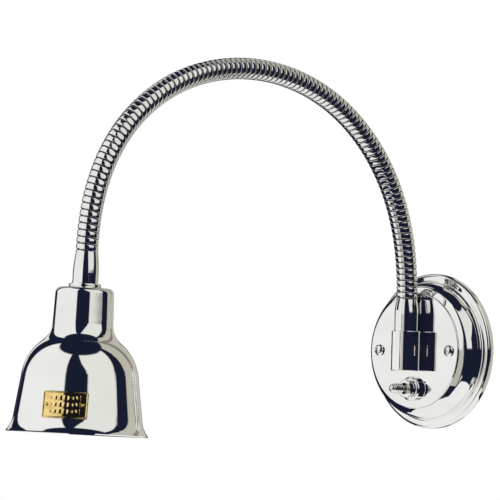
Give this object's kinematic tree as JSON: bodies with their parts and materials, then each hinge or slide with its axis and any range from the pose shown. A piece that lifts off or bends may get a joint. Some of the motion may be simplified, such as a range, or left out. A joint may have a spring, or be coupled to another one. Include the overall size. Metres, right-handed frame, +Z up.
{
  "type": "gooseneck wall sconce",
  "caption": "Wall reading light: round stepped wall plate with toggle switch, upright boss, flexible ribbed metal arm and a small bell shade with a screw-cap bulb.",
  "frame": {"origin": "middle of the two wall screw slots, in the plane of the wall", "axes": "+Y points into the wall, so the lamp stands out along -Y; +Z is up; +X is to the right of someone who faces the wall"},
  "size_m": [0.1209, 0.3513, 0.2467],
  "materials": {
    "polished_chrome": "polished",
    "chrome_hose": "polished",
    "zinc_steel": "satin",
    "brass": "satin",
    "polished_brass": "polished",
    "nickel_cap": "satin",
    "solder_tip": "satin",
    "white_plastic": "satin",
    "black_plastic": "satin",
    "opal_glass": "gloss"
  },
  "bodies": {
    "base": {"wall_bracket": "zinc_steel", "canopy": "polished_chrome", "face_plate": "polished_chrome", "face_screws": "polished_chrome", "terminal_block": "white_plastic", "terminal_inserts": "brass", "terminal_screws": "zinc_steel", "block_screw": "zinc_steel", "earth_screw": "brass", "arm_boss": "polished_chrome", "grub_screw": "zinc_steel", "hollow_stud": "brass", "stud_washer": "zinc_steel", "stud_nut": "brass", "switch_body": "black_plastic", "switch_terminals": "brass", "switch_bushing": "polished_chrome", "dress_nut": "polished_chrome", "wall_ferrule": "polished_chrome", "hose_01": "chrome_hose"},
    "hose_length_02": {"hose_02": "chrome_hose"},
    "hose_length_03": {"hose_03": "chrome_hose"},
    "hose_length_04": {"hose_04": "chrome_hose"},
    "hose_length_05": {"hose_05": "chrome_hose"},
    "hose_length_06": {"hose_06": "chrome_hose"},
    "hose_length_07": {"hose_07": "chrome_hose"},
    "hose_length_08": {"hose_08": "chrome_hose"},
    "hose_length_09": {"hose_09": "chrome_hose"},
    "hose_length_10": {"hose_10": "chrome_hose"},
    "hose_length_11": {"hose_11": "chrome_hose"},
    "hose_length_12": {"hose_12": "chrome_hose"},
    "head": {"hose_13": "chrome_hose", "shade_ferrule": "polished_chrome", "shade_collar": "polished_chrome", "shade_nipple": "brass", "shade_nut": "zinc_steel", "shade": "polished_chrome", "nameplate": "polished_brass", "nameplate_rivets": "polished_brass", "lampholder_body": "black_plastic", "lampholder_sleeve": "brass", "centre_contact": "brass", "bulb_cap": "nickel_cap", "bulb_tip": "solder_tip", "bulb_glass": "opal_glass"},
    "toggle": {"toggle_lever": "polished_chrome"}
  },
  "joints": [
    {"name": "bend_01", "type": "hinge", "parent": "base", "child": "hose_length_02", "pos_m": [-0.00025, -0.03424, 0.06665], "axis": [0.9962, -0.0872, 0], "range_deg": [-30, 10]},
    {"name": "swing_02", "type": "hinge", "parent": "hose_length_02", "child": "hose_length_03", "pos_m": [-0.00107, -0.04361, 0.09791], "axis": [-0.0799, -0.9136, -0.3987], "range_deg": [-12, 12]},
    {"name": "bend_03", "type": "hinge", "parent": "hose_length_03", "child": "hose_length_04", "pos_m": [-0.00252, -0.06023, 0.12596], "axis": [0.9962, -0.0872, 0], "range_deg": [-30, 10]},
    {"name": "swing_04", "type": "hinge", "parent": "hose_length_04", "child": "hose_length_05", "pos_m": [-0.00453, -0.08322, 0.14904], "axis": [-0.0537, -0.6133, -0.788], "range_deg": [-12, 12]},
    {"name": "bend_05", "type": "hinge", "parent": "hose_length_05", "child": "hose_length_06", "pos_m": [-0.00697, -0.11109, 0.16585], "axis": [0.9962, -0.0872, 0], "range_deg": [-30, 10]},
    {"name": "swing_06", "type": "hinge", "parent": "hose_length_06", "child": "hose_length_07", "pos_m": [-0.00969, -0.14211, 0.17566], "axis": [-0.0166, -0.1901, -0.9816], "range_deg": [-12, 12]},
    {"name": "bend_07", "type": "hinge", "parent": "hose_length_07", "child": "hose_length_08", "pos_m": [-0.01252, -0.17453, 0.17851], "axis": [0.9962, -0.0872, 0], "range_deg": [-30, 10]},
    {"name": "swing_08", "type": "hinge", "parent": "hose_length_08", "child": "hose_length_09", "pos_m": [-0.01535, -0.20682, 0.17453], "axis": [0.0196, 0.2241, -0.9744], "range_deg": [-12, 12]},
    {"name": "bend_09", "type": "hinge", "parent": "hose_length_09", "child": "hose_length_10", "pos_m": [-0.01802, -0.23742, 0.1635], "axis": [0.9962, -0.0872, 0], "range_deg": [-30, 10]},
    {"name": "swing_10", "type": "hinge", "parent": "hose_length_10", "child": "hose_length_11", "pos_m": [-0.02038, -0.26437, 0.14526], "axis": [0.0578, 0.6601, -0.749], "range_deg": [-12, 12]},
    {"name": "bend_11", "type": "hinge", "parent": "hose_length_11", "child": "hose_length_12", "pos_m": [-0.02221, -0.28525, 0.12028], "axis": [0.9962, -0.0872, 0], "range_deg": [-30, 10]},
    {"name": "swing_12", "type": "hinge", "parent": "hose_length_12", "child": "head", "pos_m": [-0.02333, -0.29807, 0.09032], "axis": [0.0842, 0.9623, -0.2588], "range_deg": [-12, 12]},
    {"name": "toggle_throw", "type": "hinge", "parent": "base", "child": "toggle", "pos_m": [0, -0.027, -0.0258], "axis": [0, 0, 1], "range_deg": [0, 23]}
  ]
}
